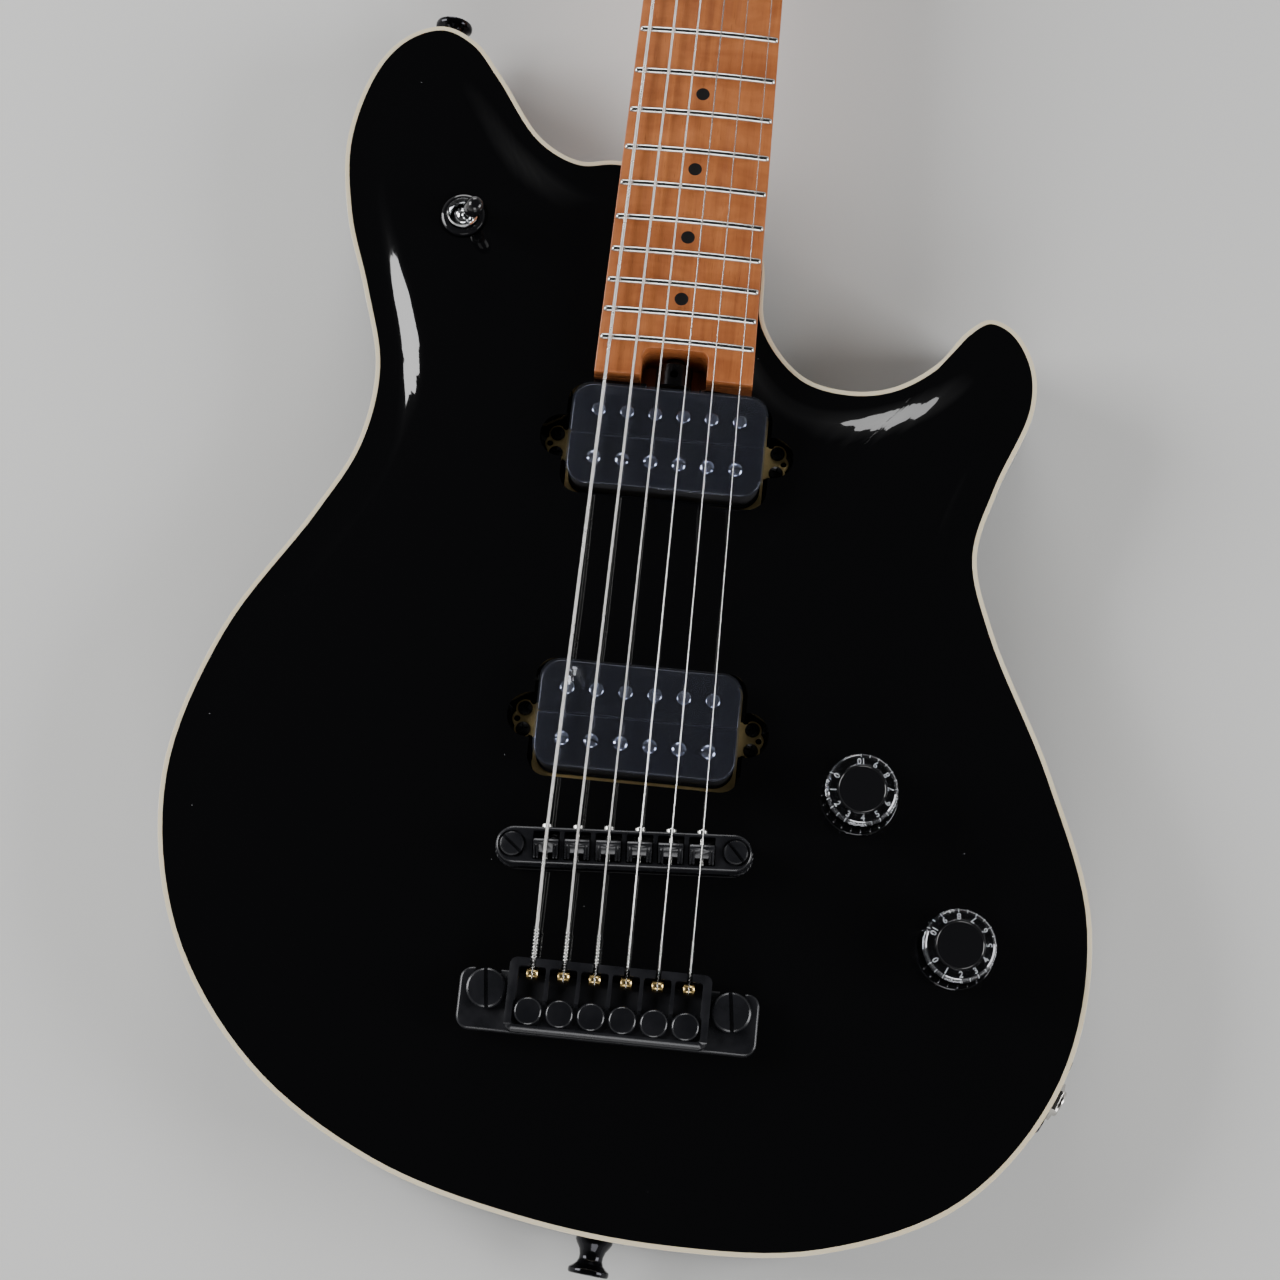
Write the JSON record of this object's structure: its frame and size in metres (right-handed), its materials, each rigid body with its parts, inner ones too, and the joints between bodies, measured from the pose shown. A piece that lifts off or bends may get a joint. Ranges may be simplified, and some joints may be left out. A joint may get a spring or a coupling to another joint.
{
  "type": "electric guitar",
  "caption": "Solid-body electric guitar with an arched, bound black body, bolted maple neck, twin humbucking pickups, post-mounted bridge and stud tailpiece.",
  "frame": {"origin": "on the flat back of the body, under the middle of the bridge, where the strings end at the saddles", "axes": "+Z out of the top of the body, +Y along the neck to the headstock, +X to the treble side"},
  "size_m": [0.323, 0.9547, 0.0652],
  "materials": {
    "lacquered_wood": "black lacquer polished to a mirror gloss",
    "roasted_maple": "roasted maple, thin satin oil finish",
    "binding_plastic": "cream binding under clear lacquer",
    "cover_plastic": "black moulded plastic, satin",
    "nut_material": "black synthetic, polished",
    "black_hardware": "black plated metal, semi gloss",
    "chrome_metal": "polished chrome",
    "brass_metal": "brushed brass",
    "plain_steel": "bright steel",
    "pickup_plastic": "black plastic under a clear film",
    "knob_plastic": "clear plastic backed in black"
  },
  "bodies": {
    "guitar": {"neck_pickup_plate": "brass_metal", "neck_pickup": "pickup_plastic", "bridge_pickup_plate": "brass_metal", "bridge_pickup": "pickup_plastic", "neck": "roasted_maple", "fingerboard": "roasted_maple", "nut": "nut_material", "tuner_housing_1": "black_hardware", "tuner_housing_2": "black_hardware", "tuner_housing_3": "black_hardware", "tuner_housing_4": "black_hardware", "tuner_housing_5": "black_hardware", "tuner_housing_6": "black_hardware", "neck_plate": "black_hardware", "bridge_beam": "black_hardware", "bridge_post_bass": "black_hardware", "bridge_post_treble": "black_hardware", "tailpiece": "black_hardware", "tail_stud_bass": "black_hardware", "tail_stud_treble": "black_hardware", "string_1": "plain_steel", "string_2": "plain_steel", "string_3": "plain_steel", "string_4": "plain_steel", "string_5": "plain_steel", "string_6": "plain_steel", "volume_pot": "plain_steel", "tone_pot": "plain_steel", "switch_body": "chrome_metal", "switch_nut": "black_hardware", "jack_plate": "black_hardware", "jack_socket": "chrome_metal", "strap_button_horn": "black_hardware", "strap_button_end": "black_hardware", "body": "lacquered_wood", "binding": "binding_plastic", "control_cover": "cover_plastic", "switch_cover": "cover_plastic"},
    "volume_knob": {"volume_knob": "knob_plastic"},
    "tone_knob": {"tone_knob": "knob_plastic"},
    "switch_lever": {"switch_lever": "chrome_metal"},
    "truss_rod": {"truss_rod": "black_hardware"},
    "saddle_1": {"saddle_1": "black_hardware"},
    "tuner_post_1": {"tuner_post_1": "black_hardware"},
    "tuner_button_1": {"tuner_button_1": "black_hardware"},
    "saddle_2": {"saddle_2": "black_hardware"},
    "tuner_post_2": {"tuner_post_2": "black_hardware"},
    "tuner_button_2": {"tuner_button_2": "black_hardware"},
    "saddle_3": {"saddle_3": "black_hardware"},
    "tuner_post_3": {"tuner_post_3": "black_hardware"},
    "tuner_button_3": {"tuner_button_3": "black_hardware"},
    "saddle_4": {"saddle_4": "black_hardware"},
    "tuner_post_4": {"tuner_post_4": "black_hardware"},
    "tuner_button_4": {"tuner_button_4": "black_hardware"},
    "saddle_5": {"saddle_5": "black_hardware"},
    "tuner_post_5": {"tuner_post_5": "black_hardware"},
    "tuner_button_5": {"tuner_button_5": "black_hardware"},
    "saddle_6": {"saddle_6": "black_hardware"},
    "tuner_post_6": {"tuner_post_6": "black_hardware"},
    "tuner_button_6": {"tuner_button_6": "black_hardware"}
  },
  "joints": [
    {"name": "volume_knob_turn", "type": "hinge", "parent": "guitar", "child": "volume_knob", "pos_m": [0.0775, 0.025, 0.04615], "axis": [0, 0, 1], "range_deg": [0, 300]},
    {"name": "tone_knob_turn", "type": "hinge", "parent": "guitar", "child": "tone_knob", "pos_m": [0.114, -0.0235, 0.04464], "axis": [0, 0, 1], "range_deg": [-60, 240]},
    {"name": "switch_lever_tilt", "type": "hinge", "parent": "guitar", "child": "switch_lever", "pos_m": [-0.0828, 0.227, 0.04387], "axis": [0.4384, 0.8988, 0], "range_deg": [-40, 0]},
    {"name": "truss_rod_turn", "type": "hinge", "parent": "guitar", "child": "truss_rod", "pos_m": [0, 0.16697, 0.0437], "axis": [0, 0.9997, -0.0262], "range_deg": [-180, 180]},
    {"name": "saddle_1_slide", "type": "slide", "parent": "guitar", "child": "saddle_1", "axis": [-0.0576, 0.9983, 0], "range_m": [-0.0022, 0.0022]},
    {"name": "saddle_2_slide", "type": "slide", "parent": "guitar", "child": "saddle_2", "axis": [-0.0576, 0.9983, 0], "range_m": [-0.0022, 0.0022]},
    {"name": "saddle_3_slide", "type": "slide", "parent": "guitar", "child": "saddle_3", "axis": [-0.0576, 0.9983, 0], "range_m": [-0.0022, 0.0022]},
    {"name": "saddle_4_slide", "type": "slide", "parent": "guitar", "child": "saddle_4", "axis": [-0.0576, 0.9983, 0], "range_m": [-0.0022, 0.0022]},
    {"name": "saddle_5_slide", "type": "slide", "parent": "guitar", "child": "saddle_5", "axis": [-0.0576, 0.9983, 0], "range_m": [-0.0022, 0.0022]},
    {"name": "saddle_6_slide", "type": "slide", "parent": "guitar", "child": "saddle_6", "axis": [-0.0576, 0.9983, 0], "range_m": [-0.0022, 0.0022]},
    {"name": "tuner_button_1_turn", "type": "hinge", "parent": "guitar", "child": "tuner_button_1", "pos_m": [-0.024, 0.69516, 0.01398], "axis": [-1, 0, 0], "continuous": true},
    {"name": "tuner_post_1_turn", "type": "hinge", "parent": "guitar", "child": "tuner_post_1", "pos_m": [-0.024, 0.69049, 0.0337], "axis": [0, 0.0785, 0.9969], "continuous": true},
    {"name": "tuner_button_2_turn", "type": "hinge", "parent": "guitar", "child": "tuner_button_2", "pos_m": [-0.024, 0.73603, 0.01076], "axis": [-1, 0, 0], "continuous": true},
    {"name": "tuner_post_2_turn", "type": "hinge", "parent": "guitar", "child": "tuner_post_2", "pos_m": [-0.024, 0.73137, 0.03049], "axis": [0, 0.0785, 0.9969], "continuous": true},
    {"name": "tuner_button_3_turn", "type": "hinge", "parent": "guitar", "child": "tuner_button_3", "pos_m": [-0.024, 0.77691, 0.00754], "axis": [-1, 0, 0], "continuous": true},
    {"name": "tuner_post_3_turn", "type": "hinge", "parent": "guitar", "child": "tuner_post_3", "pos_m": [-0.024, 0.77224, 0.02727], "axis": [0, 0.0785, 0.9969], "continuous": true},
    {"name": "tuner_button_4_turn", "type": "hinge", "parent": "guitar", "child": "tuner_button_4", "pos_m": [0.024, 0.77691, 0.00754], "axis": [1, 0, 0], "continuous": true},
    {"name": "tuner_post_4_turn", "type": "hinge", "parent": "guitar", "child": "tuner_post_4", "pos_m": [0.024, 0.77224, 0.02727], "axis": [0, 0.0785, 0.9969], "continuous": true},
    {"name": "tuner_button_5_turn", "type": "hinge", "parent": "guitar", "child": "tuner_button_5", "pos_m": [0.024, 0.73603, 0.01076], "axis": [1, 0, 0], "continuous": true},
    {"name": "tuner_post_5_turn", "type": "hinge", "parent": "guitar", "child": "tuner_post_5", "pos_m": [0.024, 0.73137, 0.03049], "axis": [0, 0.0785, 0.9969], "continuous": true},
    {"name": "tuner_button_6_turn", "type": "hinge", "parent": "guitar", "child": "tuner_button_6", "pos_m": [0.024, 0.69516, 0.01398], "axis": [1, 0, 0], "continuous": true},
    {"name": "tuner_post_6_turn", "type": "hinge", "parent": "guitar", "child": "tuner_post_6", "pos_m": [0.024, 0.69049, 0.0337], "axis": [0, 0.0785, 0.9969], "continuous": true}
  ],
  "couplings": [
    {"joint": "tuner_post_1_turn", "follows": "tuner_button_1_turn", "ratio": 0.066667},
    {"joint": "tuner_post_2_turn", "follows": "tuner_button_2_turn", "ratio": 0.066667},
    {"joint": "tuner_post_3_turn", "follows": "tuner_button_3_turn", "ratio": 0.066667},
    {"joint": "tuner_post_4_turn", "follows": "tuner_button_4_turn", "ratio": 0.066667},
    {"joint": "tuner_post_5_turn", "follows": "tuner_button_5_turn", "ratio": 0.066667},
    {"joint": "tuner_post_6_turn", "follows": "tuner_button_6_turn", "ratio": 0.066667}
  ]
}
